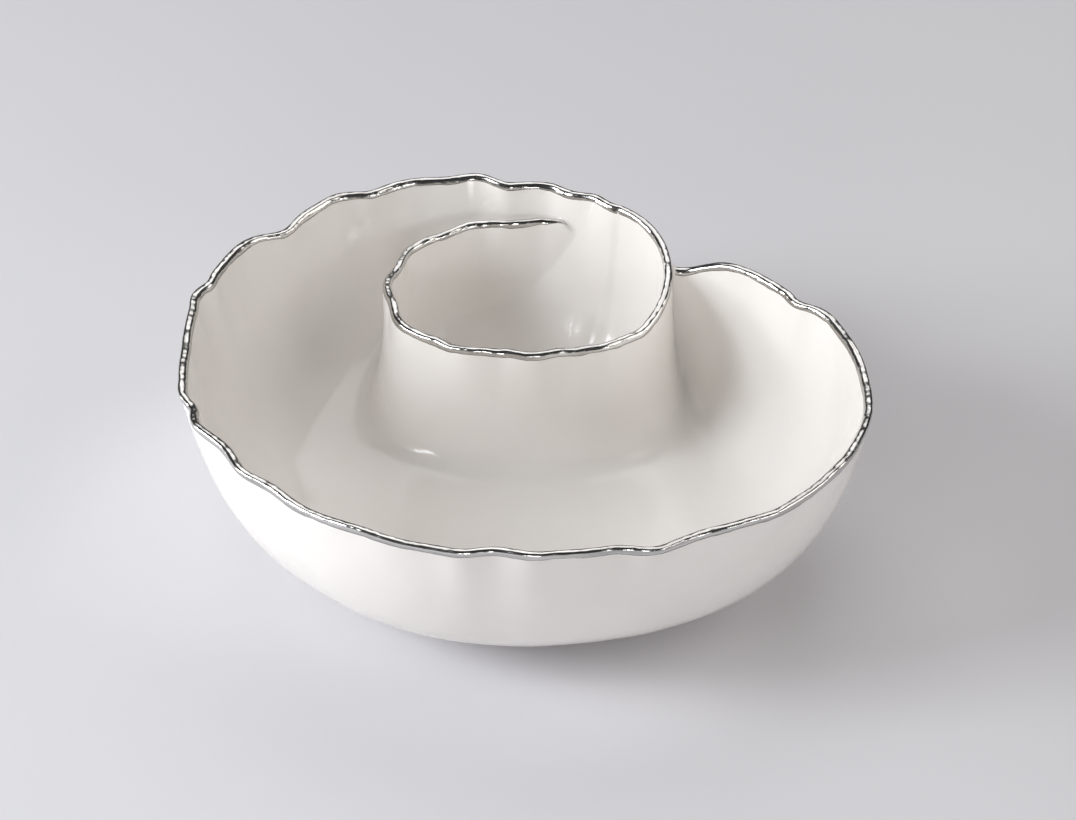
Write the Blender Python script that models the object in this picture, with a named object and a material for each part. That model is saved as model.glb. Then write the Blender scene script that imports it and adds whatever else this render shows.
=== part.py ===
"""Swirl chip and dip server: one spiral porcelain wall on a round foot.

The wall starts at a seam on the right, runs once round the tray and then curls
inwards, where it becomes the wall of the dip well. Units are metres, +Z is up,
and the origin is on the table under the middle of the server.
"""

import math

import bmesh
import bpy
from mathutils import Vector

MM = 0.001

# --- Driving dimensions -------------------------------------------------------
OVERALL_HEIGHT = 69.85 * MM
RIM_HEIGHT = 67.4 * MM          # mean height of the tray's rim
SEAM_HEIGHT = 63.5 * MM         # rim where the swirl starts and the curl passes it
DIP_RIM_HEIGHT = 55.5 * MM      # rim of the dip well
DIP_END_HEIGHT = 57.5 * MM      # where the dip rim runs into the back wall
LIP_THICKNESS = 2.8 * MM
WALL_FOOT_THICKNESS = 7.0 * MM  # level thickness of the flaring wall at its foot
FOOT_HEIGHT = 2.6 * MM
FOOT_RADIUS = 68.0 * MM
FOOT_WIDTH = 6.0 * MM
TURN_RADIUS = 71.0 * MM         # outer radius of the wall where it leaves the foot
FLOOR_TOP = 6.4 * MM
RIM_BAND_HEIGHT = 3.0 * MM
RIM_BAND_PROUD = 0.15 * MM
GAP = 0.3 * MM                  # clearance between touching members
FLARE_GAP = 0.65 * MM           # the same clearance measured level on the flaring wall

# --- Plan of the dip well: a rounded oval, angles in degrees from its centre ---
DIP_CENTRE = Vector((2.0 * MM, 58.2 * MM))
DIP_HALF_WIDTH = 48.2 * MM
DIP_HALF_DEPTH = 42.0 * MM
DIP_SQUARENESS = 2.3
CURL_ANGLE = 46.0               # the tray's wall turns into the dip wall here
SEAM_ANGLE = 2.0                # the swirl's start meets the curl here
DROP_TURN = 45.0                # the rim falls to the dip's height within this turn
END_RISE = (240.0, 320.0)       # the dip's rim rises towards its end between these turns
WALL_END_TURN = 336.0           # clockwise turn from the curl to the end of the dip wall

# --- Plan of the swirl: bearing in degrees and radius in millimetres, clockwise
# from the seam to the point where the curl begins ------------------------------
SWIRL = (
    (50, 78.5), (44, 83.5), (36, 88), (25, 93.5), (12, 101.5), (0, 108.2), (-15, 114.8),
    (-30, 119.2), (-45, 120.2), (-60, 117.8), (-80, 114.8), (-100, 113.4), (-120, 111.8),
    (-140, 110.4), (-160, 110.6), (-180, 111.4), (-200, 114), (-215, 116.2), (-230, 117),
    (-245, 116.4), (-257, 114.6), (-268, 110.6), (-278, 104.8), (-286, 99.6), (-290.4, 97.6),
)
SEAM_RISE = 16.0                # the swirl's rim reaches its full height in this turn
RIPPLE = 1.4 * MM               # half height of the tray rim's slow rise and fall
DIP_RIPPLE = 0.5 * MM           # the same for the dip's rim
DIP_RIPPLE_PACE = 1.7           # the dip's rim rises and falls this many times as often
RIPPLES = ((0.45, 7, 0.0), (0.35, 12, 1.0), (0.2, 19, 2.0))  # share, times a turn, phase
PRESS_LIFT = 0.15               # rise of the rim for each unit that it is pushed outwards

# Finger-pressed waves of the tray's rim: bearing, push outwards in millimetres
# and half width in degrees.
RIM_WAVES = (
    (46, -1.4, 3), (17, -2.4, 3), (10, 1.0, 4), (-50, 0.8, 3), (-62, -1.1, 3), (-70, 2.0, 3),
    (-75, -1.6, 3), (-88, 1.4, 3), (-94, -1.3, 3), (-99, 1.4, 3), (-134, -1.0, 4),
    (-140, 1.2, 3), (-148, -1.5, 4), (-156, 1.1, 3), (-162, -1.2, 2), (-167, 0.9, 3),
    (-180, -0.8, 7), (-196, 1.4, 3), (-201, -0.8, 2), (-215, 1.3, 5), (-223, -3.8, 4),
    (-236, 1.7, 4), (-242, -1.6, 3), (-252, 1.2, 5), (-261, 3.0, 3), (-267, -3.6, 3),
    (-275, 1.6, 3), (-284, 1.6, 3),
)

# Outer profile of the wall: share of the rim height against the share of the way
# out from the turn of the foot to the rim.
WALL_PROFILE = ((0, 0), (0.05, 0.13), (0.12, 0.3), (0.27, 0.6), (0.45, 0.775), (0.68, 0.9), (1, 1))
WALL_LEVELS = (0.0, 0.05, 0.12, 0.2, 0.3, 0.42, 0.58, 0.78, 1.0)

# Section of the dip wall from its bottom edge up: share of its height, and the
# half thickness on the tray side and on the well side in millimetres.
DIP_SECTION = (
    (0.0, 17.0, 15.0), (0.035, 16.0, 14.0), (0.07, 10.5, 9.5), (0.16, 6.2, 6.0),
    (0.32, 3.9, 3.9), (0.6, 2.4, 2.4), (1.0, 1.4, 1.4),
)
DIP_WALL_ROOT = FLOOR_TOP - 1.0 * MM

# Section of the silver band: share of its half width and share of its height.
BAND_SECTION = ((-1, 0), (-1, 0.5), (-0.6, 0.88), (0, 1), (0.6, 0.88), (1, 0.5), (1, 0))
BAND_START = 3.2 * MM           # the band starts clear of the curl that passes the seam

RIM_SAMPLES = 400
CURL_SAMPLES = 60
WALL_STATIONS = 132
DIP_STATIONS = 60
BAND_DIP_STATIONS = 57          # the band stops this many stations round the dip wall
FOOT_STATIONS = 96
SHARP_ANGLE = 40.0              # edges sharper than this are shaded as creases

# --- Finishes: base colour, roughness, metallic --------------------------------
GLAZE = ((0.90, 0.89, 0.87, 1.0), 0.12, 0.0)
BISQUE = ((0.82, 0.79, 0.74, 1.0), 0.75, 0.0)
SILVER = ((0.62, 0.61, 0.59, 1.0), 0.08, 1.0)


def smooth_through(knots, x):
    """Return the value at x of a smooth curve through the (x, value) knots."""
    knots = sorted(knots)
    x = min(max(x, knots[0][0]), knots[-1][0])
    index = 0
    while index < len(knots) - 2 and x > knots[index + 1][0]:
        index += 1
    (x0, y0), (x1, y1) = knots[index:index + 2]
    before = knots[max(index - 1, 0)]
    after = knots[min(index + 2, len(knots) - 1)]
    span = x1 - x0
    t = (x - x0) / span
    leave = (y1 - before[1]) / (x1 - before[0]) * span
    arrive = (after[1] - y0) / (after[0] - x0) * span
    rise = y0 + (y1 - y0) * t * t * (3 - 2 * t)
    return rise + leave * t * (1 - t) ** 2 - arrive * t * t * (1 - t)


def ease(t):
    """Return a smooth step from 0 to 1 as t goes from 0 to 1."""
    t = min(max(t, 0.0), 1.0)
    return t * t * (3 - 2 * t)


def mix(start, end, t):
    """Return the value a share t of the way from start to end."""
    return start + (end - start) * t


def polar(bearing, radius, centre=Vector((0.0, 0.0))):
    """Return the plan point at a bearing in degrees and a radius from a centre."""
    angle = math.radians(bearing)
    return centre + Vector((math.cos(angle), math.sin(angle))) * radius


def wave(bearing):
    """Return how far the finger marks push the tray's rim outwards at a bearing."""
    return MM * sum(push * math.exp(-((bearing - at) / width) ** 2) for at, push, width in RIM_WAVES)


def ripple(bearing):
    """Return the small rise and fall of the rim at a bearing, between about -1 and 1."""
    angle = math.radians(bearing)
    return sum(share * math.sin(times * angle + phase) for share, times, phase in RIPPLES)


def lift(bearing):
    """Return the rise of the tray's rim at a bearing, before it is scaled."""
    return PRESS_LIFT * wave(bearing) + RIPPLE * ripple(bearing)


def crest_scale():
    """Return the scale of the lift at which the highest crest reaches the overall height."""
    highest = max(sampled(lift, SWIRL[0][0], SWIRL[-1][0]))
    return (OVERALL_HEIGHT - RIM_HEIGHT) / highest


def swirl_rim(bearing, scale):
    """Return plan point and height of the tray's rim at a bearing, with its lift scaled."""
    radius = smooth_through(SWIRL, bearing) * MM
    height = mix(SEAM_HEIGHT, RIM_HEIGHT, ease((SWIRL[0][0] - bearing) / SEAM_RISE))
    return polar(bearing, radius + wave(bearing)), height + scale * lift(bearing)


def dip_rim(turn):
    """Return plan point and height of the curl and dip rim, a clockwise turn past the curl."""
    angle = math.radians(CURL_ANGLE - turn)
    wide = abs(math.cos(angle) / DIP_HALF_WIDTH) ** DIP_SQUARENESS
    deep = abs(math.sin(angle) / DIP_HALF_DEPTH) ** DIP_SQUARENESS
    point = polar(CURL_ANGLE - turn, (wide + deep) ** (-1 / DIP_SQUARENESS), DIP_CENTRE)
    seam = CURL_ANGLE - SEAM_ANGLE
    height = mix(RIM_HEIGHT, SEAM_HEIGHT, ease(turn / seam))
    height = mix(height, DIP_RIM_HEIGHT, ease((turn - seam) / DROP_TURN))
    start, end = END_RISE
    height = mix(height, DIP_END_HEIGHT, ease((turn - start) / (end - start)))
    return point, height + DIP_RIPPLE * ripple(turn * DIP_RIPPLE_PACE)


def sampled(function, start, end, count=RIM_SAMPLES):
    """Return count + 1 values of a function from start to end."""
    return [function(start + (end - start) * i / count) for i in range(count + 1)]


def respaced(path, count, closed):
    """Return count evenly spaced (point, height) pairs along a path of such pairs."""
    path = path + path[:1] if closed else path
    travelled = [0.0]
    for (start, _), (end, _) in zip(path, path[1:]):
        travelled.append(travelled[-1] + (end - start).length)
    steps = count if closed else count - 1
    result = []
    index = 0
    for i in range(count):
        target = travelled[-1] * i / steps
        while index < len(travelled) - 2 and travelled[index + 1] < target:
            index += 1
        t = (target - travelled[index]) / (travelled[index + 1] - travelled[index])
        (start, low), (end, high) = path[index:index + 2]
        result.append((start.lerp(end, t), mix(low, high, t)))
    return result


def with_normals(path, closed):
    """Add to each (point, height) pair the level direction to the left of the path."""
    result = []
    last = len(path) - 1
    for i, (point, height) in enumerate(path):
        ahead = path[(i + 1) % len(path) if closed else min(i + 1, last)][0]
        behind = path[i - 1 if closed or i > 0 else 0][0]
        along = (ahead - behind).normalized()
        result.append((point, height, Vector((-along.y, along.x))))
    return result


def tray_loop():
    """Return the closed rim round the whole server: the swirl and the outside of the curl."""
    scale = crest_scale()
    swirl = sampled(lambda bearing: swirl_rim(bearing, scale), SWIRL[0][0], SWIRL[-1][0])
    curl = sampled(dip_rim, 0.0, CURL_ANGLE - SEAM_ANGLE, CURL_SAMPLES)
    return with_normals(respaced(swirl + curl[1:], WALL_STATIONS, True), True)


def dip_loop():
    """Return the open rim of the dip wall, from the seam to its end at the back wall."""
    path = sampled(dip_rim, CURL_ANGLE - SEAM_ANGLE + 1, WALL_END_TURN)
    return with_normals(respaced(path, DIP_STATIONS, False), False)


def outer_face(point, normal, level):
    """Return the plan point of the wall's outer face at a share of its height."""
    foot = point.normalized() * TURN_RADIUS
    rim = point + normal * LIP_THICKNESS / 2
    return foot.lerp(rim, smooth_through(WALL_PROFILE, level))


def inner_face(point, normal, level, clearance=0.0):
    """Return the plan point of the wall's inner face at a share of its height."""
    thickness = mix(LIP_THICKNESS, WALL_FOOT_THICKNESS, (1 - level) ** 2)
    inwards = point.normalized().lerp(normal, level).normalized()
    return outer_face(point, normal, level) - inwards * (thickness + clearance)


def wall_top(height):
    """Return the height where the ceramic wall ends under the silver band."""
    return height - RIM_BAND_HEIGHT - GAP


def new_object(name, mesh, finish):
    """Link a new object with its own material and return it."""
    colour, roughness, metallic = finish
    material = bpy.data.materials.new(name + "_finish")
    material.use_nodes = True
    shader = material.node_tree.nodes["Principled BSDF"]
    shader.inputs["Base Color"].default_value = colour
    shader.inputs["Roughness"].default_value = roughness
    shader.inputs["Metallic"].default_value = metallic
    mesh.materials.append(material)
    obj = bpy.data.objects.new(name, mesh)
    bpy.context.scene.collection.objects.link(obj)
    return obj


def lofted(name, rings, finish, ring_closed, stack_closed):
    """Make an object by joining rings of points in order, with ends filled where open.

    ring_closed joins the last point of each ring to its first, and stack_closed
    joins the last ring to the first.
    """
    bm = bmesh.new()
    rows = [[bm.verts.new(point) for point in ring] for ring in rings]
    stacked = rows + rows[:1] if stack_closed else rows
    for low, high in zip(stacked, stacked[1:]):
        count = len(low) if ring_closed else len(low) - 1
        for i in range(count):
            j = (i + 1) % len(low)
            bm.faces.new((low[i], low[j], high[j], high[i]))
    if not stack_closed:
        bm.faces.new(rows[0][::-1])
        bm.faces.new(rows[-1])
    if not ring_closed:
        bm.faces.new([row[0] for row in rows])
        bm.faces.new([row[-1] for row in rows][::-1])
    bmesh.ops.recalc_face_normals(bm, faces=bm.faces)
    mesh = bpy.data.meshes.new(name)
    bm.to_mesh(mesh)
    bm.free()
    mesh.shade_smooth()
    mesh.set_sharp_from_angle(angle=math.radians(SHARP_ANGLE))
    return new_object(name, mesh, finish)


def make_foot_ring():
    """Make the unglazed ring that the server stands on."""
    section = (
        (FOOT_RADIUS - FOOT_WIDTH, 0.0), (FOOT_RADIUS, 0.0),
        (FOOT_RADIUS, FOOT_HEIGHT - GAP), (FOOT_RADIUS - FOOT_WIDTH, FOOT_HEIGHT - GAP),
    )
    bearings = [360 * i / FOOT_STATIONS for i in range(FOOT_STATIONS)]
    rings = [[polar(bearing, radius).to_3d() + Vector((0, 0, z)) for bearing in bearings]
             for radius, z in section]
    return lofted("foot_ring", rings, BISQUE, True, True)


def make_tray_floor(loop):
    """Make the floor slab that carries the wall round its edge and the dip wall on top."""
    rings = []
    for z in (FOOT_HEIGHT, (FOOT_HEIGHT + FLOOR_TOP) / 2, FLOOR_TOP):
        ring = []
        for point, height, normal in loop:
            level = (z - FOOT_HEIGHT) / (wall_top(height) - FOOT_HEIGHT)
            edge = inner_face(point, normal, level, FLARE_GAP)
            ring.append((edge.x, edge.y, z))
        rings.append(ring)
    return lofted("tray_floor", rings, GLAZE, True, False)


def make_tray_wall(loop):
    """Make the wall round the tray, which includes the outside of the curl."""
    rings = []
    for face, levels in ((outer_face, WALL_LEVELS), (inner_face, WALL_LEVELS[::-1])):
        for level in levels:
            ring = []
            for point, height, normal in loop:
                place = face(point, normal, level)
                ring.append((place.x, place.y, mix(FOOT_HEIGHT, wall_top(height), level)))
            rings.append(ring)
    return lofted("tray_wall", rings, GLAZE, True, True)


def make_bowl_space(loop):
    """Make the cutter that fills the bowl, a little clear of its wall and floor."""
    bottom = (FLOOR_TOP + GAP - FOOT_HEIGHT) / (RIM_HEIGHT - FOOT_HEIGHT)
    rings = []
    for level in (bottom,) + WALL_LEVELS[2:]:
        ring = []
        for point, height, normal in loop:
            place = inner_face(point, normal, level, mix(FLARE_GAP, GAP, level))
            ring.append((place.x, place.y, mix(FOOT_HEIGHT, wall_top(height), level)))
        rings.append(ring)
    rings[0] = [(x, y, FLOOR_TOP + GAP) for x, y, _ in rings[0]]
    rings.append([(x, y, OVERALL_HEIGHT) for x, y, _ in rings[-1]])
    cutter = lofted("bowl_space", rings, GLAZE, True, False)
    cutter.hide_render = True
    cutter.display_type = "WIRE"
    return cutter


def make_dip_wall(loop, space):
    """Make the inner turn of the swirl, fitted to the floor and to the back wall."""
    rings = []
    for point, height, normal in loop:
        section = [(share, tray * MM) for share, tray, _ in DIP_SECTION]
        section += [(share, -well * MM) for share, _, well in reversed(DIP_SECTION)]
        ring = []
        for share, offset in section:
            place = point + normal * offset
            ring.append((place.x, place.y, mix(DIP_WALL_ROOT, wall_top(height), share)))
        rings.append(ring)
    wall = lofted("dip_wall", rings, GLAZE, True, False)
    fit = wall.modifiers.new("fit_to_bowl", "BOOLEAN")
    fit.operation = "INTERSECT"
    fit.solver = "EXACT"
    fit.object = space
    return wall


def make_silver_rim(tray, dip):
    """Make the silver band that caps the wall from the seam to the end of the dip rim."""
    start = tray[0][0]
    path = [place for place in tray if (place[0] - start).length > BAND_START or place is tray[-1]]
    path += dip[:BAND_DIP_STATIONS]
    half_width = LIP_THICKNESS / 2 + RIM_BAND_PROUD
    rings = []
    for point, height, normal in path:
        ring = []
        for across, up in BAND_SECTION:
            place = point + normal * half_width * across
            ring.append((place.x, place.y, height - RIM_BAND_HEIGHT * (1 - up)))
        rings.append(ring)
    return lofted("silver_rim", rings, SILVER, True, False)


def main():
    """Build the server in an empty scene."""
    for obj in list(bpy.data.objects):
        bpy.data.objects.remove(obj)
    tray = tray_loop()
    dip = dip_loop()
    make_foot_ring()
    make_tray_floor(tray)
    make_tray_wall(tray)
    make_dip_wall(dip, make_bowl_space(tray))
    make_silver_rim(tray, dip)


main()
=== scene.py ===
"""Looks of the swirl chip and dip server.

One fired porcelain body with a glossy white glaze, a brushed silver lustre band
along its lip and an unglazed foot. The wall is a single strip: it starts at a
seam on the right, runs clockwise round the tray and curls inwards to close the
dip well. Lengths are in millimetres until a mesh is made.
"""

import logging
import math
from dataclasses import dataclass, field
from enum import Enum
from typing import Callable

import bpy
import numpy as np
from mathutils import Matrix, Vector, noise

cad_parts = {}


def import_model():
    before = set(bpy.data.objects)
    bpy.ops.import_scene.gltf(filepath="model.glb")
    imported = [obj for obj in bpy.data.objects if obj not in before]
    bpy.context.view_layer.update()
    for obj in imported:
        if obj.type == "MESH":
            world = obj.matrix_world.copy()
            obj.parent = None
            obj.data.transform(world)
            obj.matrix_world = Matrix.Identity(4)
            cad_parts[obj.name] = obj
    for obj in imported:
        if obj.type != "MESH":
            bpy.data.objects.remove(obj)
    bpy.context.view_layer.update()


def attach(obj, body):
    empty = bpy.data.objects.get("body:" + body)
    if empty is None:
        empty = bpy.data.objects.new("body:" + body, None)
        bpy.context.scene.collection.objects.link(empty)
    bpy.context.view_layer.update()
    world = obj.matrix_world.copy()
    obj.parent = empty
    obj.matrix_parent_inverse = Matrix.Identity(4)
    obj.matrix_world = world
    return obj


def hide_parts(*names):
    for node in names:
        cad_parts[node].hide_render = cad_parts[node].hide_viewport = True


LOG = logging.getLogger("server")
MM = 0.001
CLAY_SEED = 7
KEPT_REACH = 3.0  # millimetres
SEAM_MERGE = 0.000001  # metres
BAND_LENGTH = 0.95  # metres
Array = np.ndarray


def smooth_curve(knots: tuple, at: Array) -> Array:
    """Read a smooth curve through knots.

    Args:
        knots: Pairs of place and value, in any order of place.
        at: Places to read, held inside the knots.

    Returns:
        The values there.
    """
    place, value = np.array(sorted(knots), float).T
    at = np.clip(at, place[0], place[-1])
    low = np.clip(np.searchsorted(place, at, side="right") - 1, 0, len(place) - 2)
    before = np.maximum(np.arange(len(place)) - 1, 0)
    after = np.minimum(np.arange(len(place)) + 1, len(place) - 1)
    slope = (value[after] - value[before]) / (place[after] - place[before])
    span = place[low + 1] - place[low]
    t = (at - place[low]) / span
    rise = value[low] + (value[low + 1] - value[low]) * t * t * (3 - 2 * t)
    return rise + span * t * (1 - t) * (slope[low] * (1 - t) - slope[low + 1] * t)


def ease(t: Array) -> Array:
    """Step smoothly from 0 to 1 as t goes from 0 to 1."""
    t = np.clip(t, 0.0, 1.0)
    return t * t * (3 - 2 * t)


def mix(start: Array, end: Array, t: Array) -> Array:
    """Go a share t of the way from start to end."""
    return start + (end - start) * t


def soft_max(first: Array, second: Array, blend: Array) -> Array:
    """Take the larger of two heights, rounded where they are within blend of each other."""
    near = np.clip(1 - np.abs(first - second) / np.maximum(blend, 1e-6), 0, None)
    return np.maximum(first, second) + near * near * blend / 4


def compass(bearing: Array) -> Array:
    """Give the plan direction of a bearing in degrees."""
    angle = np.radians(bearing)
    return np.stack([np.cos(angle), np.sin(angle)], -1)


def marks(at: Array, presses: tuple) -> Array:
    """Add up finger marks, each a place, a push and a half width.

    Args:
        at: Places along the rim, in degrees.
        presses: The marks, in degrees and millimetres.

    Returns:
        The push at each place, in millimetres.
    """
    total = np.zeros_like(np.asarray(at, float))
    for place, push, width in presses:
        total += push * np.exp(-(((at - place) / width) ** 2))
    return total


@dataclass(frozen=True)
class Clay:
    """Sizes of the potted body, in millimetres and degrees.

    A sink says how the rim's waves fade into the wall: the depth that they reach, how sharply
    they fade there and, inside, the level distance that they reach.
    """

    rim_height: float = 67.8
    seam_height: float = 63.5
    dip_rim_height: float = 55.5
    dip_end_height: float = 57.5
    lip: float = 2.8
    lip_roundness: float = 2.3
    foot_wall: float = 7.0
    foot_height: float = 2.6
    foot_outer: float = 68.0
    foot_width: float = 6.0
    turn_radius: float = 71.0
    floor_top: float = 6.4
    fillet: float = 9.0
    fillet_fade: float = 6.0
    dip_centre: tuple = (2.0, 58.2)
    dip_half: tuple = (48.2, 42.0)
    dip_squareness: float = 2.3
    curl_angle: float = 46.0
    seam_angle: float = 2.0
    drop_turn: float = 45.0
    rise_turn: tuple = (240.0, 80.0)
    end_turn: float = 330.0
    end_fall_turn: float = 26.0
    end_fall_height: float = 40.0
    seam_rise: float = 16.0
    run_out: float = 3.0
    ridge_run_out: float = 420.0
    seam_step: float = 1.8
    seam_step_turn: tuple = (2.0, 12.0)
    ripple: float = 0.9
    ripple_waves: tuple = ((7, 0.45, 0), (12, 0.35, 1), (19, 0.2, 2))
    dip_ripple: float = 0.45
    dip_ripple_pace: float = 1.7
    press_lift: float = 0.2
    press_fade: float = 5.0
    dip_press_fade: tuple = (12.0, 20.0)
    outer_sink: tuple = (15.0, 1.1)
    inner_sink: tuple = (18.0, 1.3, 20.0)
    dip_sink: tuple = (13.0, 1.3, 12.0)
    floor_fade: float = 20.0
    foot_fade: float = 12.0
    unevenness: tuple = ((38.0, 0.55), (15.0, 0.3))
    swirl: tuple = (
        (50, 78.5), (44, 83.5), (36, 88), (25, 93.5), (12, 101.5), (0, 108.2), (-15, 114.8),
        (-30, 119.2), (-45, 120.2), (-60, 117.8), (-80, 114.8), (-100, 113.4), (-120, 111.8),
        (-140, 110.4), (-160, 110.6), (-180, 111.4), (-200, 114), (-215, 116.2), (-230, 117),
        (-245, 116.4), (-257, 114.6), (-268, 110.6), (-278, 104.8), (-286, 99.6), (-290.4, 97.6),
    )
    rim_presses: tuple = (
        (30, 0.7, 5), (17, -1.8, 3), (10, 0.9, 4), (-50, 0.8, 3), (-62, -1.1, 3),
        (-70, 2.0, 3), (-75, -1.6, 3), (-88, 1.4, 3), (-94, -1.3, 3), (-99, 1.4, 3),
        (-134, -1.0, 4), (-140, 1.2, 3), (-148, -1.5, 4), (-156, 1.1, 3), (-162, -1.2, 2),
        (-167, 0.9, 3), (-180, -0.8, 7), (-196, 1.4, 3), (-201, -0.8, 2), (-215, 1.3, 5),
        (-223, -3.2, 4), (-236, 1.7, 4), (-242, -1.6, 3), (-252, 1.2, 5), (-261, 2.0, 4),
        (-267, -2.4, 3), (-275, 1.6, 3), (-284, 1.6, 3),
    )
    dip_presses: tuple = (
        (58, 0.9, 6), (74, -0.8, 5), (88, 1.2, 7), (104, -1.0, 6), (120, 0.7, 6), (136, -0.9, 7),
        (152, 0.8, 7), (168, -0.7, 6), (184, 1.0, 7), (200, -1.1, 6), (214, 0.9, 6),
        (232, -0.8, 7), (250, 0.9, 8), (270, -0.7, 7), (288, 0.6, 7),
    )
    wall_profile: tuple = (
        (0, 0), (0.05, 0.13), (0.12, 0.3), (0.27, 0.6), (0.45, 0.775), (0.68, 0.9), (1, 1),
    )
    dip_tray_side: tuple = (
        (0, 26), (0.03, 18), (0.08, 12), (0.16, 8.0), (0.32, 4.9), (0.6, 2.7), (1, 1.4),
    )
    dip_well_side: tuple = (
        (0, 24), (0.03, 17), (0.08, 11.5), (0.16, 7.4), (0.32, 4.4), (0.6, 2.5), (1, 1.4),
    )


CLAY = Clay()


class Side(Enum):
    """The two faces of the dip wall."""

    TRAY = "tray"
    WELL = "well"


@dataclass
class RimLine:
    """A stretch of the lip's centre line, with what the maker did to it there."""

    points: Array
    heights: Array
    push: Array
    lift: Array
    closed: bool = False
    normals: Array = field(init=False)
    batch: int = 4000

    def __post_init__(self) -> None:
        """Work out the level direction to the left of the line, which is outwards."""
        if self.closed:
            along = np.roll(self.points, -1, 0) - np.roll(self.points, 1, 0)
        else:
            along = np.gradient(self.points, axis=0)
        along /= np.linalg.norm(along, axis=1)[:, None]
        if self.closed:
            along = sum(np.roll(along, shift, 0) for shift in (-2, -1, 0, 1, 2))
            along /= np.linalg.norm(along, axis=1)[:, None]
        self.normals = np.stack([-along[:, 1], along[:, 0]], -1)

    def spaced(self, count: int) -> "RimLine":
        """Space the line evenly.

        Args:
            count: How many points the new line has.

        Returns:
            An open line over the same stretch.
        """
        step = np.linalg.norm(np.diff(self.points, axis=0), axis=1)
        travelled = np.concatenate([[0.0], np.cumsum(step)])
        at = np.linspace(0.0, travelled[-1], count)

        def read(values: Array) -> Array:
            return np.interp(at, travelled, values)

        points = np.stack([read(self.points[:, 0]), read(self.points[:, 1])], -1)
        return RimLine(points, read(self.heights), read(self.push), read(self.lift))

    def then(self, other: "RimLine", closed: bool = False) -> "RimLine":
        """Run on into another line whose first point is this one's last.

        Args:
            other: The line that follows.
            closed: True if its last point is this line's first.

        Returns:
            The joined line.
        """
        rest = slice(1, -1 if closed else None)
        return RimLine(
            np.concatenate([self.points, other.points[rest]]),
            np.concatenate([self.heights, other.heights[rest]]),
            np.concatenate([self.push, other.push[rest]]),
            np.concatenate([self.lift, other.lift[rest]]),
            closed,
        )

    def part(self, keep: slice) -> "RimLine":
        """Cut a stretch out of the line."""
        return RimLine(self.points[keep], self.heights[keep], self.push[keep], self.lift[keep])

    def nearest(self, places: Array) -> tuple:
        """Find the closest spot of the line to each plan place.

        Args:
            places: Plan places, one to a row.

        Returns:
            The distances, and for each place the line's index with its fraction.
        """
        starts = self.points
        ends = np.roll(starts, -1, 0)
        if not self.closed:
            starts, ends = starts[:-1], ends[:-1]
        runs = ends - starts
        lengths = (runs**2).sum(1)
        gaps = np.empty(len(places))
        spots = np.empty(len(places))
        for first in range(0, len(places), self.batch):
            chunk = places[first : first + self.batch]
            away = chunk[:, None] - starts[None]
            share = np.clip((away * runs).sum(2) / lengths, 0, 1)
            away -= runs * share[..., None]
            squared = (away**2).sum(2)
            best = squared.argmin(1)
            row = np.arange(len(chunk))
            gaps[first : first + self.batch] = np.sqrt(squared[row, best])
            spots[first : first + self.batch] = best + share[row, best]
        return gaps, spots

    def moves(self, spots: Array, share: Array) -> Array:
        """Give the pushes and lifts at spots that nearest() gave, each times its share."""
        level = self.read(self.normals, spots) * self.read(self.push, spots)[:, None]
        return np.column_stack([level, self.read(self.lift, spots)]) * share[:, None]

    def read(self, values: Array, spots: Array) -> Array:
        """Read values kept along the line at spots that nearest() gave."""
        low = np.floor(spots).astype(int) % len(self.points)
        high = (low + 1) % len(self.points) if self.closed else np.minimum(low + 1, len(self.points) - 1)
        share = (spots - np.floor(spots)).reshape((-1,) + (1,) * (values.ndim - 1))
        return values[low] * (1 - share) + values[high] * share


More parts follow.
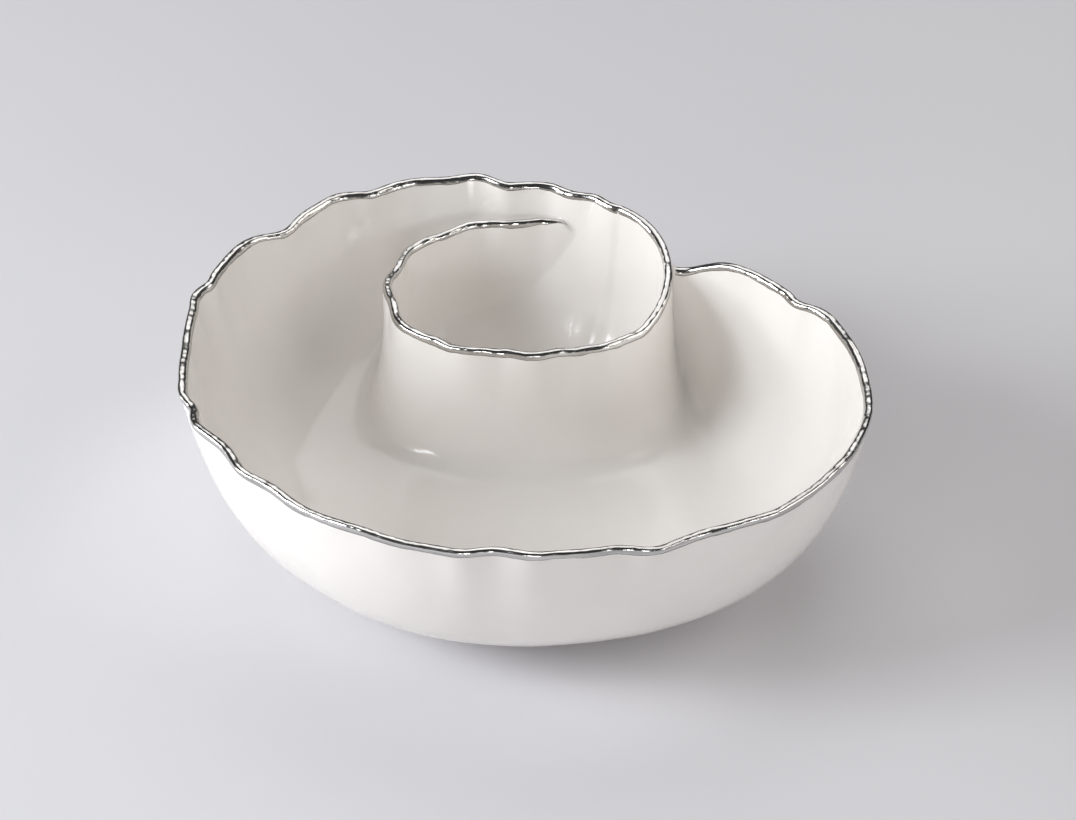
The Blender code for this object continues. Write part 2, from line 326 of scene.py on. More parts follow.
class Swirl:
    """The plan and the faces of the one strip of clay that makes both walls."""

    stations: int = 440
    curl_stations: int = 26
    tray_samples: int = 3000
    dip_samples: int = 1200
    least_turn: float = 0.15
    least_gap: float = 0.8
    searches: int = 40
    search_below: float = 9.0

    def __init__(self, clay: Clay) -> None:
        """Lay the strip out.

        Args:
            clay: The body's sizes.
        """
        self.clay = clay
        self.tray = self.swirl_line().spaced(self.stations + 1)
        self.curl = self.dip_line(0.0, clay.curl_angle - clay.seam_angle).spaced(self.curl_stations + 1)
        self.dip = self.dip_line(clay.curl_angle - clay.seam_angle, 360.0)
        self.loop = self.tray.then(self.curl, closed=True)
        self.across = self.facing_points()

    def ripple(self, bearing: Array) -> Array:
        """Give the slow rise and fall of the rim, between about -1 and 1."""
        angle = np.radians(bearing)
        waves = self.clay.ripple_waves
        return sum(size * np.sin(count * angle + shift) for count, size, shift in waves)

    def rim_lift(self, bearing: Array) -> Array:
        """Give the rise and fall of the tray's rim."""
        clay = self.clay
        return clay.press_lift * marks(bearing, clay.rim_presses) + clay.ripple * self.ripple(bearing)

    def swirl_line(self) -> RimLine:
        """Lay out the lip from the seam, clockwise round the tray, to the curl."""
        clay = self.clay
        bearing = np.linspace(clay.swirl[0][0], clay.swirl[-1][0], self.tray_samples)
        past = clay.swirl[0][0] - bearing
        end = bearing - clay.swirl[-1][0]
        points = compass(bearing) * smooth_curve(clay.swirl, bearing)[:, None]
        points[-1] = self.dip_points(np.array([0.0]))[0]
        points[0] = self.dip_points(np.array([clay.curl_angle - clay.seam_angle]))[0]
        height = mix(clay.seam_height, clay.rim_height, ease(past / clay.seam_rise))
        step_down, step_back = clay.seam_step_turn
        height -= clay.seam_step * ease(past / step_down) * ease(1 - past / step_back)
        hold = ease(past / clay.press_fade) * ease(end / clay.press_fade)
        push = marks(bearing, clay.rim_presses) * hold
        return RimLine(points, height, push, self.rim_lift(bearing) * hold)

    def dip_points(self, turn: Array) -> Array:
        """Give plan points of the dip's oval, a clockwise turn in degrees past the curl."""
        clay = self.clay
        angle = np.radians(clay.curl_angle - turn)
        wide = np.abs(np.cos(angle) / clay.dip_half[0]) ** clay.dip_squareness
        deep = np.abs(np.sin(angle) / clay.dip_half[1]) ** clay.dip_squareness
        radius = (wide + deep) ** (-1 / clay.dip_squareness)
        return np.array(clay.dip_centre) + compass(np.degrees(angle)) * radius[:, None]

    def facing_points(self) -> Array:
        """Give the point of the dip's lip that faces each point of the swirl, in order."""
        away = self.tray.points - np.array(self.clay.dip_centre)
        turn = self.clay.curl_angle - np.degrees(np.unwrap(np.arctan2(away[:, 1], away[:, 0])))
        slowest = turn[0] + self.least_turn * np.arange(len(turn))
        turn = np.minimum(np.maximum(np.maximum.accumulate(turn), slowest), turn[-1])
        facing = self.dip_points(turn)
        apart = np.linalg.norm(facing - self.tray.points, axis=1)
        apart[: len(apart) // 2] = np.inf
        return np.where((apart < self.least_gap)[:, None], self.tray.points, facing)

    def dip_line(self, start: float, end: float) -> RimLine:
        """Lay out the lip of the curl or of the dip.

        Args:
            start: Clockwise turn past the curl where the line begins, in degrees.
            end: The turn where it ends.

        Returns:
            The line.
        """
        clay = self.clay
        turn = np.linspace(start, end, self.dip_samples)
        seam = clay.curl_angle - clay.seam_angle
        height = mix(clay.rim_height, clay.seam_height, ease(turn / seam))
        height = mix(height, clay.dip_rim_height, ease((turn - seam) / clay.drop_turn))
        rise_start, rise_length = clay.rise_turn
        height = mix(height, clay.dip_end_height, ease((turn - rise_start) / rise_length))
        height = mix(height, clay.end_fall_height, ease((turn - clay.end_turn) / clay.end_fall_turn))
        first, last = clay.dip_press_fade
        hold = ease((turn - seam) / first) * ease((clay.end_turn - turn) / last)
        push = marks(turn - seam, clay.dip_presses) * hold
        lift = clay.dip_ripple * self.ripple(turn * clay.dip_ripple_pace) * hold
        return RimLine(self.dip_points(turn), height, push, lift)

    def flare(self, rim: Array) -> Array:
        """Say how far the outer face leans out from the turn of the foot to points of the rim."""
        return np.linalg.norm(rim, axis=1) + self.clay.lip / 2 - self.clay.turn_radius

    def rounding(self, z: Array, height: Array) -> Array:
        """Give the share of the half thickness that the rounded lip keeps at a height."""
        radius = self.clay.lip / 2
        up = np.clip((z - (height - radius)) / radius, 0, 1)
        return (1 - up**self.clay.lip_roundness) ** (1 / self.clay.lip_roundness)

    def wall_offset(self, z: Array, height: Array, flare: Array) -> Array:
        """Give the inner face's distance inside the lip's centre line at a height."""
        clay = self.clay
        level = np.minimum((z - clay.foot_height) / (height - clay.foot_height), 1)
        thickness = mix(clay.lip, clay.foot_wall, (1 - np.maximum(level, 0)) ** 2)
        reach = flare * (1 - smooth_curve(clay.wall_profile, level)) + thickness - clay.lip / 2
        reach -= clay.run_out * np.minimum(level, 0) * flare
        return reach * self.rounding(z, height)

    def ridge_offset(self, z: Array, height: Array, side: Side) -> Array:
        """Give a dip wall face's distance from the lip's centre line at a height."""
        clay = self.clay
        knots = clay.dip_tray_side if side is Side.TRAY else clay.dip_well_side
        share = np.minimum((z - clay.floor_top) / (height - clay.floor_top), 1)
        reach = smooth_curve(knots, share) - clay.ridge_run_out * np.minimum(share, 0)
        return reach * self.rounding(z, height)

    def height_at(self, gap: Array, height: Array, offset: Callable[[Array], Array]) -> Array:
        """Find the height at which a face stands a given distance from its line.

        Args:
            gap: Distances from the lip's centre line.
            height: Lip heights.
            offset: The face's distance as a function of height, falling as it rises.

        Returns:
            Heights up to the lip, which run on below the floor where the face does.
        """
        low = np.full(len(gap), self.clay.floor_top - self.search_below)
        high = np.array(height, float)
        for _ in range(self.searches):
            middle = (low + high) / 2
            inside = offset(middle) > gap
            low = np.where(inside, middle, low)
            high = np.where(inside, high, middle)
        return high

    def inside_height(self, places: Array, side: Side) -> Array:
        """Give the height of the clay inside the server.

        Args:
            places: Plan places inside the rim.
            side: The side of the dip wall that the places are on.

        Returns:
            Heights in millimetres, before the lip is pressed into waves.
        """
        gap, spot = self.loop.nearest(places)
        height = self.loop.read(self.loop.heights, spot)
        flare = self.flare(self.loop.read(self.loop.points, spot))
        wall = self.height_at(gap, height, lambda z: self.wall_offset(z, height, flare))
        dip_gap, dip_spot = self.dip.nearest(places)
        dip_height = self.dip.read(self.dip.heights, dip_spot)
        ridge = self.height_at(dip_gap, dip_height, lambda z: self.ridge_offset(z, dip_height, side))
        blend = self.clay.fillet * ease(np.minimum(gap, dip_gap) / self.clay.fillet_fade)
        surface = soft_max(wall, ridge, blend)
        return soft_max(surface, np.full(len(places), self.clay.floor_top), blend)

    def outer_point(self, line: RimLine, z: Array) -> Array:
        """Give plan points of the outer face, one for each point of a line, at its height z."""
        clay = self.clay
        level = np.clip((z - clay.foot_height) / (line.heights - clay.foot_height), 0, 1)
        foot = line.points / np.linalg.norm(line.points, axis=1)[:, None] * clay.turn_radius
        rim = line.points + line.normals * clay.lip / 2
        face = foot + (rim - foot) * smooth_curve(clay.wall_profile, level)[:, None]
        return line.points + (face - line.points) * self.rounding(z, line.heights)[:, None]

    def pressed(self, places: Array, outside: bool) -> Array:
        """Press the rim's waves into the clay below it.

        Args:
            places: Points of the body, one to a row.
            outside: True for the outer face.

        Returns:
            The moved points.
        """
        clay = self.clay
        moved = places.copy()
        plan = places[:, :2]
        gap, spot = self.loop.nearest(plan)
        clear = ease(gap / clay.fillet_fade)
        above = ease((places[:, 2] - clay.floor_top) / clay.floor_fade)
        depth = np.clip(self.loop.read(self.loop.heights, spot) - places[:, 2], 0, None)
        if outside:
            reach, power = clay.outer_sink
            share = np.exp(-((depth / reach) ** power)) * above
        else:
            reach, power, across = clay.inner_sink
            share = np.exp(-((depth / reach) ** power) - (gap / across) ** 2) * above
        moved += self.loop.moves(spot, share)
        if not outside:
            gap, spot = self.dip.nearest(plan)
            depth = np.abs(self.dip.read(self.dip.heights, spot) - places[:, 2])
            reach, power, across = clay.dip_sink
            share = np.exp(-((depth / reach) ** power) - (gap / across) ** 2) * clear * above
            moved += self.dip.moves(spot, share)
        return moved + self.unevenness(places)

    def unevenness(self, places: Array) -> Array:
        """Give the slight lack of truth of a hand-shaped wall, none of it at the foot."""
        total = np.zeros_like(places)
        for scale, size in self.clay.unevenness:
            total += size * np.array([noise.noise_vector(Vector(place) / scale) for place in places])
        above = places[:, 2] - self.clay.foot_height
        return total * ease(above / self.clay.foot_fade)[:, None]


def shelf(levels: Array) -> Array:
    """Give the shares of the rounded lip's width and height that go with steps round it."""
    angle = np.radians(levels)
    return np.stack([np.sin(angle), np.cos(angle)]) ** (2 / CLAY.lip_roundness)


def even_out(values: Array, closed: bool, times: int = 6) -> Array:
    """Average each row with its neighbours, a few times over."""
    for _ in range(times):
        before, after = np.roll(values, 1, 0), np.roll(values, -1, 0)
        if not closed:
            before[0], after[-1] = values[0], values[-1]
        values = (before + 2 * values + after) / 4
    return values


def squeeze(offsets: Array, room: Array) -> Array:
    """Bring rising offsets within the room there is, leaving the first KEPT_REACH alone.

    Args:
        offsets: Distances from a line, one row for each of its points.
        room: The largest distance allowed in each row.

    Returns:
        The offsets to use.
    """
    keep = np.minimum(KEPT_REACH, room / 3)[:, None]
    rate = np.minimum(1.0, (room[:, None] - keep) / (offsets[:, -1:] - keep))
    return np.where(offsets < keep, offsets, keep + (offsets - keep) * rate)


@dataclass
class Body:
    """The fired porcelain body, made of three sheets that meet along its lip."""

    swirl: Swirl
    lip_steps: tuple = (15, 32, 48, 62, 76, 90)
    levels: tuple = (
        0.965, 0.93, 0.89, 0.84, 0.78, 0.72, 0.65, 0.58, 0.51, 0.44, 0.37, 0.31, 0.25,
        0.2, 0.15, 0.11, 0.075, 0.05,
    )
    lowest: tuple = (0.02, 0.0)
    middle: int = 26
    well_middle: int = 16
    tray_room: tuple = (0.56, 0.34)
    well_room: float = 0.62
    short_row: tuple = (1.0, 6.0)
    under: tuple = (0.975, 0.92, 0.86, 0.6, 0.3, 0.0)

    def face_columns(self, line: RimLine, offset: Callable[[Array], Array]) -> Array:
        """Give the level distances of a face's columns from the lip's centre line.

        Args:
            line: The lip above the face.
            offset: The face's distance as a function of height.

        Returns:
            One row for each point of the line, starting at 0.
        """
        clay = self.swirl.clay
        steps = [np.zeros(len(line.points))]
        for _, up in zip(self.lip_steps, shelf(np.array(self.lip_steps))[1]):
            steps.append(offset(line.heights - clay.lip / 2 * (1 - up)))
        for level in self.levels:
            top = line.heights - clay.lip / 2
            steps.append(offset(mix(clay.foot_height, top, level)))
        return np.maximum.accumulate(np.stack(steps, -1), axis=1)

    def wall_columns(self, line: RimLine) -> Array:
        """Give the columns of the inner face under the tray's lip."""
        flare = self.swirl.flare(line.points)
        return self.face_columns(line, lambda z: self.swirl.wall_offset(z, line.heights, flare))

    def ridge_columns(self, heights: Array, side: Side) -> Array:
        """Give the columns of a face of the dip wall under its lip."""
        line = RimLine(np.arange(2.0 * len(heights)).reshape(-1, 2), heights, heights, heights)
        return self.face_columns(line, lambda z: self.swirl.ridge_offset(z, heights, side))

    def tray_sheet(self) -> bpy.types.Object:
        """Lay the inside of the tray, from its lip across to the dip's lip."""
        swirl = self.swirl
        start, end = swirl.tray.points, swirl.across
        length = np.linalg.norm(end - start, axis=1)
        _, spots = swirl.dip.nearest(end)
        heights = swirl.dip.read(swirl.dip.heights, spots)
        outer = squeeze(self.wall_columns(swirl.tray), length * self.tray_room[0])
        inner = squeeze(self.ridge_columns(heights, Side.TRAY), length * self.tray_room[1])
        outer, inner = even_out(outer, False), even_out(inner, False)
        share = np.arange(1, self.middle) / self.middle
        inner = length[:, None] - inner[:, ::-1]
        between = outer[:, -1:] + (inner[:, :1] - outer[:, -1:]) * share
        along = np.concatenate([outer, between, inner], 1)
        along /= np.maximum(length, 1e-6)[:, None]
        even = np.linspace(0, 1, along.shape[1])
        shortest, run = self.short_row
        along = mix(even, along, ease((length - shortest) / run)[:, None])
        plan = start[:, None] + (end - start)[:, None] * along[..., None]
        return self.lay("tray_inside", plan, lambda places: swirl.inside_height(places, Side.TRAY))

    def well_sheet(self) -> bpy.types.Object:
        """Lay the inside of the dip well, from its lip to its middle."""
        swirl = self.swirl
        _, spots = swirl.dip.nearest(swirl.across)
        curl = self.wall_columns(swirl.curl)
        ridge = self.ridge_columns(swirl.dip.read(swirl.dip.heights, spots), Side.WELL)
        offsets = np.concatenate([curl[:-1], ridge])
        start = np.concatenate([swirl.curl.points[:-1], swirl.across])
        end = np.array(swirl.clay.dip_centre)
        length = np.linalg.norm(end - start, axis=1)
        offsets[:-1] = even_out(offsets[:-1], True)
        offsets[-1] = offsets[0]
        offsets = squeeze(offsets, length * self.well_room)
        share = np.arange(1, self.well_middle + 1) / self.well_middle
        rest = offsets[:, -1:] + (length[:, None] - offsets[:, -1:]) * share
        along = np.concatenate([offsets, rest], 1) / length[:, None]
        plan = start[:, None] + (end - start)[:, None] * along[..., None]
        return self.lay("well_inside", plan, lambda places: swirl.inside_height(places, Side.WELL))

    def outer_sheet(self) -> bpy.types.Object:
        """Lay the outside, from the lip down to the foot and in under the floor."""
        swirl, clay = self.swirl, self.swirl.clay
        line = swirl.loop
        rows = [np.column_stack([line.points, line.heights])]
        for up in shelf(np.array(self.lip_steps))[1]:
            z = line.heights - clay.lip / 2 * (1 - up)
            rows.append(np.column_stack([swirl.outer_point(line, z), z]))
        for level in self.levels + self.lowest:
            z = mix(clay.foot_height, line.heights - clay.lip / 2, level)
            rows.append(np.column_stack([swirl.outer_point(line, z), z]))
        edge = rows[-1]
        rows += [edge * [share, share, 1.0] for share in self.under]
        points = np.stack(rows, 1)
        points = np.concatenate([points, points[:1]])
        return laid("outside", points, lambda places: swirl.pressed(places, True))

    def lay(self, name: str, plan: Array, height: Callable[[Array], Array]) -> bpy.types.Object:
        """Lay an inner sheet over plan places."""
        places = plan.reshape(-1, 2)
        points = np.column_stack([places, height(places)]).reshape(plan.shape[:2] + (3,))
        return laid(name, points, lambda spots: self.swirl.pressed(spots, False))

    def build(self) -> bpy.types.Object:
        """Join the sheets into one closed skin.

        Returns:
            The porcelain body.
        """
        sheets = [self.outer_sheet(), self.tray_sheet(), self.well_sheet()]
        return joined("porcelain_body", sheets)


def laid(name: str, points: Array, shape: Callable[[Array], Array]) -> bpy.types.Object:
    """Add a grid and lay its corners on a surface.

    Args:
        name: The name of the object.
        points: Where the corners go, as rows of columns, in millimetres.
        shape: What is done to the points last.

    Returns:
        The grid.
    """
    rows, columns = points.shape[0] - 1, points.shape[1] - 1
    bpy.ops.object.select_all(action="DESELECT")
    bpy.ops.mesh.primitive_grid_add(x_subdivisions=rows, y_subdivisions=columns, size=1.0)
    obj = bpy.context.object
    obj.name = name
    flat = np.empty(3 * len(obj.data.vertices))
    obj.data.vertices.foreach_get("co", flat)
    across = flat.reshape(-1, 3) + 0.5
    row = np.rint(across[:, 0] * rows).astype(int)
    column = np.rint(across[:, 1] * columns).astype(int)
    obj.data.vertices.foreach_set("co", (shape(points[row, column]) * MM).ravel())
    obj.data.update()
    return obj


def joined(name: str, parts: list) -> bpy.types.Object:
    """Join objects into one, close its seams and turn its faces outwards."""
    bpy.ops.object.select_all(action="DESELECT")
    for part in parts:
        part.select_set(True)
    bpy.context.view_layer.objects.active = parts[0]
    if len(parts) > 1:
        bpy.ops.object.join()
    whole = bpy.context.object
    whole.name = name
    whole.data.name = name
    bpy.ops.object.mode_set(mode="EDIT")
    bpy.ops.mesh.select_all(action="SELECT")
    bpy.ops.mesh.remove_doubles(threshold=SEAM_MERGE)
    bpy.ops.mesh.normals_make_consistent(inside=False)
    bpy.ops.object.mode_set(mode="OBJECT")
    bpy.ops.object.shade_smooth()
    return whole


@dataclass
class SilverBand:
    """The brushed lustre on the lip, a thin skin over the clay."""

    swirl: Swirl
    steps: int = 9
    proud: float = 0.07
    buried: float = 0.3
    heart: float = 1.1
    outer_depth: float = 2.2
    inner_depth: float = 2.0
    wander: float = 0.7
    wander_run: tuple = (11.0, 3.2)
    fine_share: float = 0.45
    inner_phase: float = 50.0
    end_fade: float = 14.0
    end_share: float = 0.03
    overrun: float = 6.0
    dip_stations: int = 200

    def line(self) -> tuple:
        """Lay out the silvered lip.

        Returns:
            The line, and how many of its points belong to the tray and the curl.
        """
        swirl = self.swirl
        seam = swirl.clay.curl_angle - swirl.clay.seam_angle
        tray = swirl.tray.part(slice(1, None)).then(swirl.curl)
        dip = swirl.dip_line(seam, swirl.clay.end_turn + self.overrun).spaced(self.dip_stations)
        return tray.then(dip), len(tray.points)

    def depths(self, count: int, travelled: Array, phase: float) -> Array:
        """Give the unevenness of the silver's edge along the line.

        Args:
            count: How many points the line has.
            travelled: How far along the line each point is, in millimetres.
            phase: Moves the pattern, so that the two edges differ.

        Returns:
            What to add to the depth at each point, in millimetres.
        """
        broad_run, fine_run = self.wander_run
        extra = np.empty(count)
        for i, at in enumerate(travelled):
            broad = noise.noise(Vector((at / broad_run, phase, 0)))
            fine = noise.noise(Vector((at / fine_run, phase, 7)))
            extra[i] = self.wander * (broad + self.fine_share * fine)
        return extra

    def side_reach(self, line: RimLine, tray: int, z: Array, outside: bool) -> Array:
        """Give the way from the lip's centre line to one face of it, at its heights z.

        Args:
            line: The silvered lip.
            tray: How many of its points belong to the tray and the curl.
            z: One height for each point.
            outside: True for the face on the left of the line.

        Returns:
            Plan vectors, one for each point of the line.
        """
        swirl = self.swirl
        side = Side.TRAY if outside else Side.WELL
        reach = swirl.ridge_offset(z, line.heights, side)
        away = line.normals * (reach if outside else -reach)[:, None]
        if outside:
            away[:tray] = (swirl.outer_point(line, z) - line.points)[:tray]
        else:
            inner = swirl.wall_offset(z, line.heights, swirl.flare(line.points))
            away[:tray] = -(line.normals * inner[:, None])[:tray]
        return away

    def skin(self, line: RimLine, tray: int, depth: Array, outside: bool) -> list:
        """Lay one side of the band from its edge up to the top of the lip.

        Args:
            line: The silvered lip.
            tray: How many of its points belong to the tray and the curl.
            depth: How far down the silver reaches at each point.
            outside: True for the face on the left of the line.

        Returns:
            Columns of points, the edge's first.
        """
        radius = self.swirl.clay.lip / 2
        columns = []
        for share in np.linspace(1, 0, self.steps):
            z = line.heights - depth * share**2
            away = self.side_reach(line, tray, z, outside)
            reach = np.linalg.norm(away, axis=1)
            grow = 1 + self.proud * np.minimum(1, reach / radius * 2) / np.maximum(reach, 1e-6)
            top = self.proud * np.clip((z - line.heights + radius) / radius, 0, 1)
            columns.append(np.column_stack([line.points + away * grow[:, None], z + top]))
        return columns

    def build(self) -> bpy.types.Object:
        """Lay the band along the lip.

        Returns:
            The band.
        """
        line, tray = self.line()
        step = np.linalg.norm(np.diff(line.points, axis=0), axis=1)
        travelled = np.concatenate([[0.0], np.cumsum(step)])
        fade = mix(self.end_share, 1.0, ease((travelled[-1] - travelled) / self.end_fade))
        count = len(travelled)
        outer_depth = (self.outer_depth + self.depths(count, travelled, 0.0)) * fade
        inner_depth = (self.inner_depth + self.depths(count, travelled, self.inner_phase)) * fade
        outer = self.skin(line, tray, outer_depth, True)
        inner = self.skin(line, tray, inner_depth, False)[::-1]
        middle = np.column_stack([line.points, line.heights - self.heart * fade])
        sunk = [mix(inner[-1], middle, self.buried), middle, mix(outer[0], middle, self.buried)]
        pressed = self.swirl.pressed
        on_tray = np.arange(count) < tray
        columns = []
        for column in outer[:-1]:
            shaped = np.where(on_tray[:, None], pressed(column, True), pressed(column, False))
            columns.append(shaped)
        columns += [pressed(column, False) for column in inner + sunk]
        points = np.stack(columns + columns[:1], 1)
        for end in (0, -1):
            points[end] = points[end, : 2 * self.steps - 1].mean(0)
        return joined("silver_band", [laid("silver_band", points, lambda places: places)])


@dataclass
class FootRing:
    """The bare ring that the server stands on."""

    outer: float
    width: float
    height: float
    sides: int = 160
    round_off: float = 0.5
    round_steps: int = 3
    overlap: float = 0.05

    def build(self) -> bpy.types.Object:
        """Turn the ring from a circle.

        Returns:
            The ring.
        """
        bpy.ops.object.select_all(action="DESELECT")
        bpy.ops.mesh.primitive_circle_add(vertices=self.sides, radius=(self.outer - self.width) * MM)
        bpy.ops.object.mode_set(mode="EDIT")
        bpy.ops.mesh.select_all(action="SELECT")
        wider = self.outer / (self.outer - self.width)
        bpy.ops.mesh.extrude_edges_move()
        bpy.ops.transform.resize(value=(wider, wider, 1))
        bpy.ops.mesh.select_all(action="SELECT")
        rise = (0, 0, (self.height + self.overlap) * MM)
        bpy.ops.mesh.extrude_region_move(TRANSFORM_OT_translate={"value": rise})
        bpy.ops.mesh.select_all(action="SELECT")
        bpy.ops.mesh.normals_make_consistent(inside=False)
        bpy.ops.object.mode_set(mode="OBJECT")
        ring = bpy.context.object
        bevel = ring.modifiers.new("worn_edge", "BEVEL")
        bevel.width = self.round_off * MM
        bevel.segments = self.round_steps
        bevel.limit_method = "ANGLE"
        bpy.ops.object.modifier_apply(modifier="worn_edge")
        return joined("bare_foot_ring", [ring])


class Flow:
    """A socket's output, which arithmetic turns into Math nodes."""

    def __init__(self, recipe: "Recipe", socket: bpy.types.NodeSocket) -> None:
        """Wrap a socket of a recipe."""
        self.recipe = recipe
        self.socket = socket

    def maths(self, operation: str, *values: object) -> "Flow":
        """Add a Math node over some values."""
        return self.recipe.add("ShaderNodeMath", {"operation": operation}, dict(enumerate(values)))

    def __add__(self, other: object) -> "Flow":
        """Add."""
        return self.maths("ADD", self, other)

    def __radd__(self, other: object) -> "Flow":
        """Add, with this value second."""
        return self.maths("ADD", other, self)

    def __sub__(self, other: object) -> "Flow":
        """Subtract."""
        return self.maths("SUBTRACT", self, other)

    def __rsub__(self, other: object) -> "Flow":
        """Subtract this value from another."""
        return self.maths("SUBTRACT", other, self)

    def __mul__(self, other: object) -> "Flow":
        """Multiply."""
        return self.maths("MULTIPLY", self, other)

    def __rmul__(self, other: object) -> "Flow":
        """Multiply, with this value second."""
        return self.maths("MULTIPLY", other, self)

    def held(self, low: float, high: float) -> "Flow":
        """Stretch the range from low to high over 0 to 1, and hold what lies outside."""
        sockets = {"Value": self, "From Min": low, "From Max": high}
        return self.recipe.add("ShaderNodeMapRange", {"clamp": True}, sockets)


class Recipe:
    """A material under construction."""

    def __init__(self, name: str) -> None:
        """Start from a Principled shader."""
        self.material = bpy.data.materials.new(name)
        self.material.use_nodes = True
        self.tree = self.material.node_tree
        self.shader = self.tree.nodes["Principled BSDF"]

    def add(self, kind: str, settings: dict, sockets: dict, output: object = 0) -> Flow:
        """Add a node.

        Args:
            kind: The node's type.
            settings: Its settings, which are made first.
            sockets: A value or a flow for each input, by name or number.
            output: The output to hand on, by name or number.

        Returns:
            The flow from that output.
        """
        node = self.tree.nodes.new(kind)
        for name, value in settings.items():
            setattr(node, name, value)
        for name, value in sockets.items():
            self.feed(node.inputs[name], value)
        return Flow(self, node.outputs[output])

    def feed(self, socket: bpy.types.NodeSocket, value: object) -> None:
        """Set a socket to a value, or link a flow to it."""
        if isinstance(value, Flow):
            self.tree.links.new(value.socket, socket)
        else:
            socket.default_value = value

    def place(self, output: str = "Object") -> Flow:
        """Give the coordinates that the patterns follow."""
        return self.add("ShaderNodeTexCoord", {}, {}, output)

    def stretched(self, vector: Flow, scale: tuple) -> Flow:
        """Scale coordinates by an amount for each axis."""
        return self.add("ShaderNodeMapping", {}, {"Vector": vector, "Scale": scale})

    def grain(self, vector: Flow, size: float, detail: float = 2.0, rough: float = 0.5) -> Flow:
        """Give noise, about 0.5 on average, with spots of a size in the vector's units."""
        sockets = {"Vector": vector, "Scale": 1 / size, "Detail": detail, "Roughness": rough}
        return self.add("ShaderNodeTexNoise", {}, sockets)

    def blend(self, share: Flow, start: tuple, end: tuple) -> Flow:
        """Mix two colours."""
        settings = {"data_type": "RGBA"}
        sockets = {"Factor": share, 6: start + (1,), 7: end + (1,)}
        return self.add("ShaderNodeMix", settings, sockets, 2)

    def bump(self, height: Flow, depth: float, under: object = None) -> Flow:
        """Turn a height into a normal.

        Args:
            height: The height, whose 1 is the depth.
            depth: The depth in metres.
            under: A normal to bend further, if there is one.

        Returns:
            The normal.
        """
        sockets = {"Height": height, "Distance": depth, "Strength": 1.0}
        if under is not None:
            sockets["Normal"] = under
        return self.add("ShaderNodeBump", {}, sockets)

    def finish(self, obj: bpy.types.Object, sockets: dict) -> None:
        """Feed the shader and put the material on an object."""
        for name, value in sockets.items():
            self.feed(self.shader.inputs[name], value)
        obj.data.materials.clear()
        obj.data.materials.append(self.material)


@dataclass(frozen=True)
class WhiteGlaze:
    """A clear, glossy glaze over white porcelain. Sizes of its marks are in metres."""

    thick: tuple = (0.91, 0.88, 0.85)
    thin: tuple = (0.885, 0.85, 0.815)
    gloss: float = 0.13
    gloss_range: float = 0.05
    gloss_spot: float = 0.006
    refraction: float = 1.52
    cloud: float = 0.03
    flow: float = 0.011
    flow_depth: float = 0.00022
    skin: float = 0.0016
    skin_depth: float = 0.000012

    def dress(self, obj: bpy.types.Object) -> None:
        """Glaze an object, a little unevenly, as a dipped glaze flows."""
        recipe = Recipe("white_glaze")
        place = recipe.place()
        cloud = recipe.grain(place, self.cloud, detail=3.0)
        flow = recipe.grain(place, self.flow, detail=2.0)
        skin = recipe.grain(place, self.skin, detail=2.0, rough=0.4)
        normal = recipe.bump(flow, self.flow_depth)
        normal = recipe.bump(skin, self.skin_depth, normal)
        recipe.finish(obj, {
            "Base Color": recipe.blend(cloud.held(0.3, 0.7), self.thin, self.thick),
            "Roughness": self.gloss + self.gloss_range * recipe.grain(place, self.gloss_spot, 3.0),
            "IOR": self.refraction,
            "Normal": normal,
        })


@dataclass(frozen=True)
class SilverLustre:
    """A metal film brushed on by hand, with faint strokes along the lip."""

    bright: tuple = (0.78, 0.77, 0.75)
    dull: tuple = (0.50, 0.49, 0.475)
    stroke: float = 0.03
    strokes_across: float = 9.0
    stroke_depth: float = 0.00006
    dent: float = 0.0045
    dent_depth: float = 0.0006
    speck: float = 0.0009
    polish: tuple = (0.09, 0.14, 0.05)

    def dress(self, obj: bpy.types.Object, length: float) -> None:
        """Silver an object.

        Args:
            obj: The band, whose map runs along it and across it.
            length: How long the band is, in metres.
        """
        recipe = Recipe("silver_lustre")
        mapped = recipe.place("UV")
        strokes = recipe.stretched(mapped, (length / self.stroke, self.strokes_across, 1.0))
        streak = recipe.grain(strokes, 1.0, detail=4.0, rough=0.6)
        place = recipe.place()
        dent = recipe.grain(place, self.dent, detail=1.0)
        speck = recipe.grain(place, self.speck, detail=2.0)
        normal = recipe.bump(dent, self.dent_depth)
        normal = recipe.bump(streak, self.stroke_depth, normal)
        least, in_streaks, in_specks = self.polish
        recipe.finish(obj, {
            "Base Color": recipe.blend(streak.held(0.35, 0.65), self.dull, self.bright),
            "Metallic": 1.0,
            "Roughness": least + in_streaks * streak + in_specks * speck,
            "Normal": normal,
        })


@dataclass(frozen=True)
class BareClay:
    """Fired porcelain without glaze, wiped and slightly stained."""

    clean: tuple = (0.80, 0.77, 0.72)
    stained: tuple = (0.66, 0.61, 0.54)
    stain: float = 0.008
    grit: float = 0.0006
    grit_depth: float = 0.00008
    rough: tuple = (0.75, 0.15)

    def dress(self, obj: bpy.types.Object) -> None:
        """Leave an object bare."""
        recipe = Recipe("bisque")
        place = recipe.place()
        stain = recipe.grain(place, self.stain, detail=4.0)
        grit = recipe.grain(place, self.grit, detail=3.0, rough=0.7)
        least, in_grit = self.rough
        recipe.finish(obj, {
            "Base Color": recipe.blend(stain.held(0.45, 0.75), self.clean, self.stained),
            "Roughness": least + in_grit * grit,
            "Normal": recipe.bump(grit, self.grit_depth),
        })


@dataclass(frozen=True)
class Lamp:
    """A soft square light: bearing and elevation in degrees, side in metres, and strength.

    A lamp that isn't mirrored lights the clay but doesn't show as a patch in its shine.
    """

    name: str
    bearing: float
    elevation: float
    side: float
    strength: float
    tint: tuple
    mirrored: bool = True


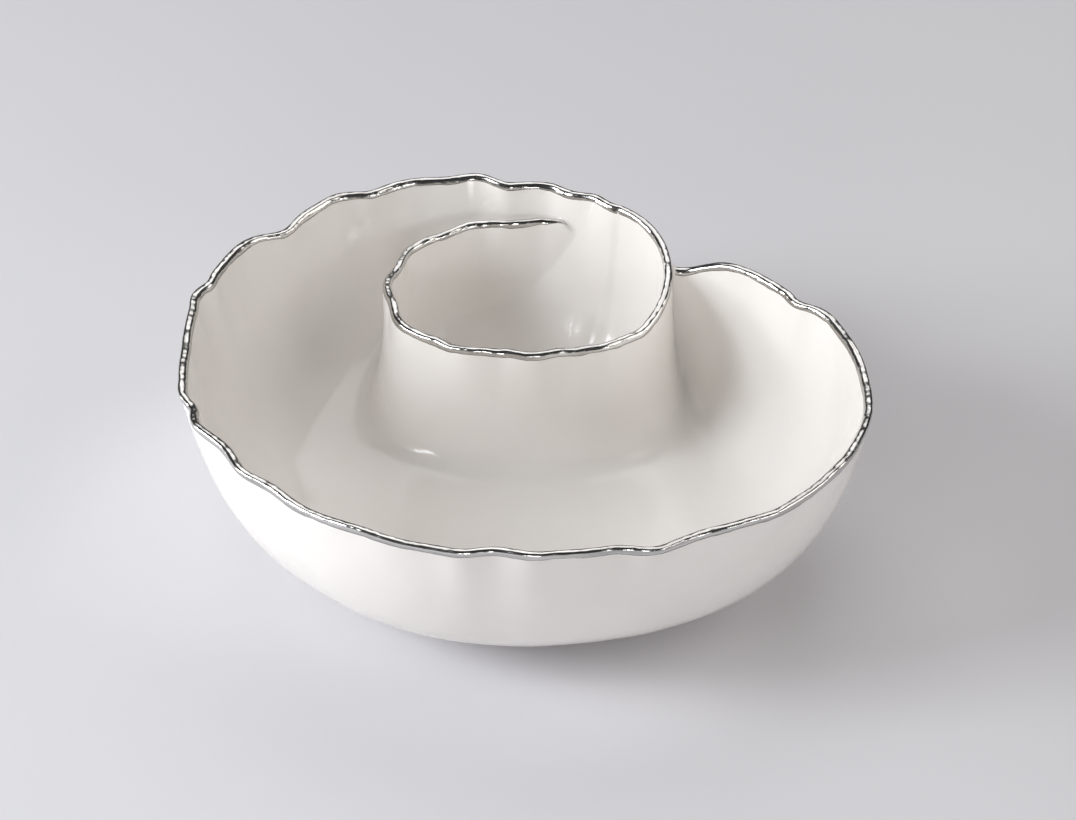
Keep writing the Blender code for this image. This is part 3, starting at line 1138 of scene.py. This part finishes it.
@dataclass
class Studio:
    """A pale table, soft lights and the camera. Places are in metres."""

    table: float = 6.0
    table_colour: tuple = (0.77, 0.765, 0.795)
    table_shade: float = 0.97
    table_cloud: float = 0.4
    table_roughness: float = 0.85
    room: float = 0.045
    lamp_distance: float = 1.4
    lamps: tuple = (
        Lamp("window_low", 180, 11, 0.55, 0.55, (0.985, 1.0, 1.0)),
        Lamp("window_high", 196, 31, 0.5, 0.46, (0.96, 1.0, 1.05)),
        Lamp("back_panel", 90, 54, 1.1, 0.3, (1.0, 0.99, 0.99)),
        Lamp("right_card", 0, 33, 0.9, 0.25, (1.04, 1.0, 0.96)),
        Lamp("front_panel", 244, 52, 0.8, 0.15, (1.02, 1.0, 0.96), mirrored=False),
        Lamp("front_card", 266, 12, 0.3, 0.14, (1.0, 1.0, 1.0)),
        Lamp("corner_card", 320, 14, 0.35, 0.09, (1.0, 1.0, 1.0)),
    )
    camera_place: tuple = (0.0053, -0.8083, 0.5821)
    camera_tilt: float = 56.27
    lens: float = 97.8

    def floor(self) -> None:
        """Lay the table."""
        bpy.ops.object.select_all(action="DESELECT")
        bpy.ops.mesh.primitive_plane_add(size=self.table)
        table = bpy.context.object
        table.name = "table"
        recipe = Recipe("table_paper")
        place = recipe.place()
        tone = recipe.grain(place, self.table_cloud, detail=2.0)
        darker = tuple(self.table_shade * value for value in self.table_colour)
        recipe.finish(table, {
            "Base Color": recipe.blend(tone, darker, self.table_colour),
            "Roughness": self.table_roughness,
        })

    def hang(self, lamp: Lamp) -> None:
        """Hang a soft light that faces the server."""
        light = bpy.data.lights.new(lamp.name, "AREA")
        light.shape = "SQUARE"
        light.size = lamp.side
        light.energy = lamp.strength * (math.pi * self.lamp_distance) ** 2
        light.color = lamp.tint
        obj = bpy.data.objects.new(lamp.name, light)
        bpy.context.scene.collection.objects.link(obj)
        level, up = math.radians(lamp.bearing), math.radians(lamp.elevation)
        away = Vector((math.cos(level) * math.cos(up), math.sin(level) * math.cos(up), math.sin(up)))
        obj.location = away * self.lamp_distance
        obj.rotation_euler = away.to_track_quat("Z", "Y").to_euler()
        obj.visible_glossy = lamp.mirrored

    def world(self) -> None:
        """Set the even light all round."""
        world = bpy.data.worlds.new("studio")
        world.use_nodes = True
        background = world.node_tree.nodes["Background"]
        background.inputs["Color"].default_value = (self.room, self.room, self.room, 1)
        bpy.context.scene.world = world
        bpy.context.scene.view_settings.view_transform = "Standard"

    def camera(self) -> None:
        """Set the camera up."""
        lens = bpy.data.cameras.new("camera")
        lens.lens = self.lens
        camera = bpy.data.objects.new("camera", lens)
        bpy.context.scene.collection.objects.link(camera)
        camera.location = self.camera_place
        camera.rotation_euler = (math.radians(self.camera_tilt), 0, 0)
        bpy.context.scene.camera = camera

    def build(self) -> None:
        """Set the studio up."""
        self.floor()
        for lamp in self.lamps:
            self.hang(lamp)
        self.world()
        self.camera()


def as_piece(obj: bpy.types.Object, nodes: tuple) -> None:
    """Tie a piece to the frame.

    Args:
        obj: The piece.
        nodes: The CAD nodes that it stands for.
    """
    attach(obj, "root")
    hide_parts(*nodes)
    LOG.info("%s: %d faces", obj.name, len(obj.data.polygons))


def main() -> None:
    """Build the server's looks around its frame."""
    logging.basicConfig(level=logging.INFO)
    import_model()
    noise.seed_set(CLAY_SEED)
    swirl = Swirl(CLAY)
    body = Body(swirl).build()
    WhiteGlaze().dress(body)
    as_piece(body, ("tray_floor", "tray_wall", "dip_wall"))
    band = SilverBand(swirl).build()
    SilverLustre().dress(band, BAND_LENGTH)
    as_piece(band, ("silver_rim",))
    foot = FootRing(CLAY.foot_outer, CLAY.foot_width, CLAY.foot_height).build()
    BareClay().dress(foot)
    as_piece(foot, ("foot_ring",))
    Studio().build()


if __name__ == "__main__":
    main()
